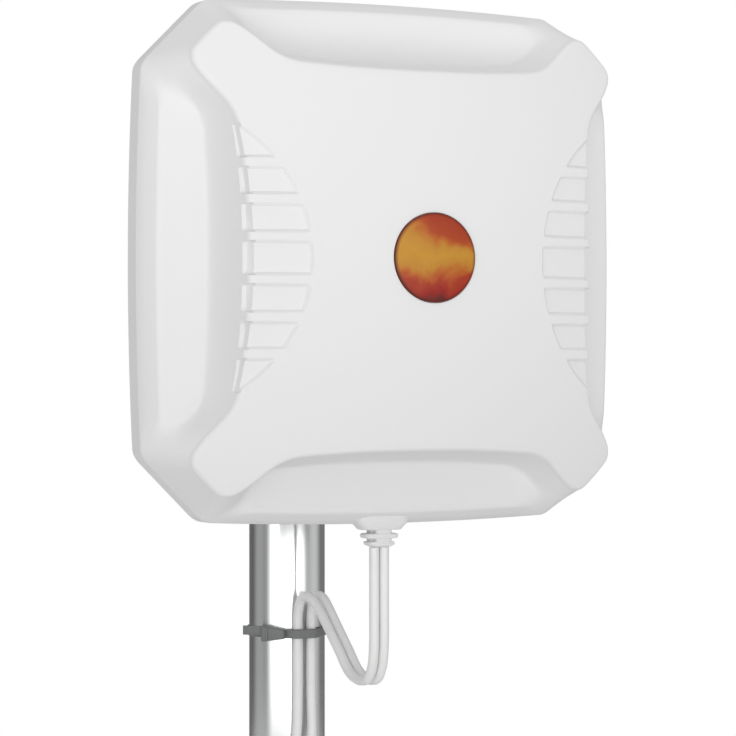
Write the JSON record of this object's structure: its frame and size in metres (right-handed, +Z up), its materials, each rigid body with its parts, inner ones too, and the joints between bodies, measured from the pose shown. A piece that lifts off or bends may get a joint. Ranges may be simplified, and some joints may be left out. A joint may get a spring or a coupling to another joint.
{
  "type": "flat panel antenna",
  "caption": "Square flat-panel antenna with a domed, ribbed cover on a tilting bracket, clamped to a round mast, with thin white coaxial leads tied down the mast.",
  "frame": {"origin": "centre of the mast's foot, on its end face", "axes": "+Z up the mast, the antenna faces -Y, +X to the antenna's right when seen from the front"},
  "size_m": [0.256, 0.2048, 0.608],
  "materials": {
    "radome_plastic": "satin white moulded plastic",
    "cover_plastic": "pale grey-white moulded plastic",
    "badge": "orange and red marbled, glossy",
    "gasket": "matt dark rubber",
    "screw_steel": "bright zinc or stainless",
    "sheet_aluminium": "mill finish",
    "patch_brass": "bright brass sheet",
    "board": "green circuit board",
    "nylon": "natural nylon",
    "cord_jacket": "white cable jacket",
    "tie_grey": "grey nylon",
    "mast_chrome": "polished tube",
    "bracket_steel": "zinc-plated sheet",
    "cap_black": "black moulded plastic",
    "connector_gold": "gold-plated brass"
  },
  "bodies": {
    "mast": {"mast_tube": "mast_chrome", "mast_cap_bottom": "cap_black", "mast_cap_top": "cap_black"},
    "swivel": {"pivot_bolt": "screw_steel", "pivot_nut": "screw_steel", "lock_bolt": "screw_steel", "lock_nut": "screw_steel", "ubolt_lower": "screw_steel", "ubolt_upper": "screw_steel", "ubolt_nut_lower_left": "screw_steel", "ubolt_nut_lower_right": "screw_steel", "ubolt_nut_upper_left": "screw_steel", "ubolt_nut_upper_right": "screw_steel", "mast_saddle_lower": "sheet_aluminium", "mast_saddle_upper": "sheet_aluminium", "lead_1": "cord_jacket", "lead_2": "cord_jacket", "coil_1": "cord_jacket", "coil_2": "cord_jacket", "tail_1": "cord_jacket", "tail_2": "cord_jacket", "pole_bracket": "bracket_steel", "connector_body_1": "connector_gold", "connector_body_2": "connector_gold", "cable_tie": "tie_grey", "coil_tie_lower": "tie_grey", "coil_tie_upper": "tie_grey"},
    "panel": {"radome": "radome_plastic", "badge": "badge", "rim_gasket": "gasket", "rear_cover": "cover_plastic", "cover_screw_1": "screw_steel", "cover_screw_2": "screw_steel", "cover_screw_3": "screw_steel", "cover_screw_4": "screw_steel", "cover_screw_5": "screw_steel", "cover_screw_6": "screw_steel", "vent_plug": "cap_black", "reflector_tray": "sheet_aluminium", "feed_board": "board", "driven_patch": "patch_brass", "director_patch": "patch_brass", "board_post_1": "nylon", "board_post_2": "nylon", "board_post_3": "nylon", "board_post_4": "nylon", "centre_post": "nylon", "feed_probe_1": "patch_brass", "feed_probe_2": "patch_brass", "inner_lead_1": "cord_jacket", "inner_lead_2": "cord_jacket", "strain_relief_boot": "radome_plastic", "antenna_bracket": "bracket_steel", "bracket_bolt_1": "screw_steel", "bracket_bolt_2": "screw_steel", "bracket_bolt_3": "screw_steel", "bracket_bolt_4": "screw_steel"},
    "nut_1": {"connector_nut_1": "connector_gold"},
    "nut_2": {"connector_nut_2": "connector_gold"}
  },
  "joints": [
    {"name": "azimuth_swivel", "type": "hinge", "parent": "mast", "child": "swivel", "pos_m": [0, 0, 0.48], "axis": [0, 0, 1], "range_deg": [-180, 180]},
    {"name": "elevation_tilt", "type": "hinge", "parent": "swivel", "child": "panel", "pos_m": [0, -0.065, 0.48], "axis": [1, 0, 0], "range_deg": [-20, 20], "deforming": ["lead_1", "lead_2"]},
    {"name": "connector_nut_1_spin", "type": "hinge", "parent": "swivel", "child": "nut_1", "pos_m": [-0.01263, -0.0332, 0.055], "axis": [0, 0, 1], "continuous": true},
    {"name": "connector_nut_2_spin", "type": "hinge", "parent": "swivel", "child": "nut_2", "pos_m": [-0.01263, -0.04835, 0.055], "axis": [0, 0, 1], "continuous": true}
  ]
}
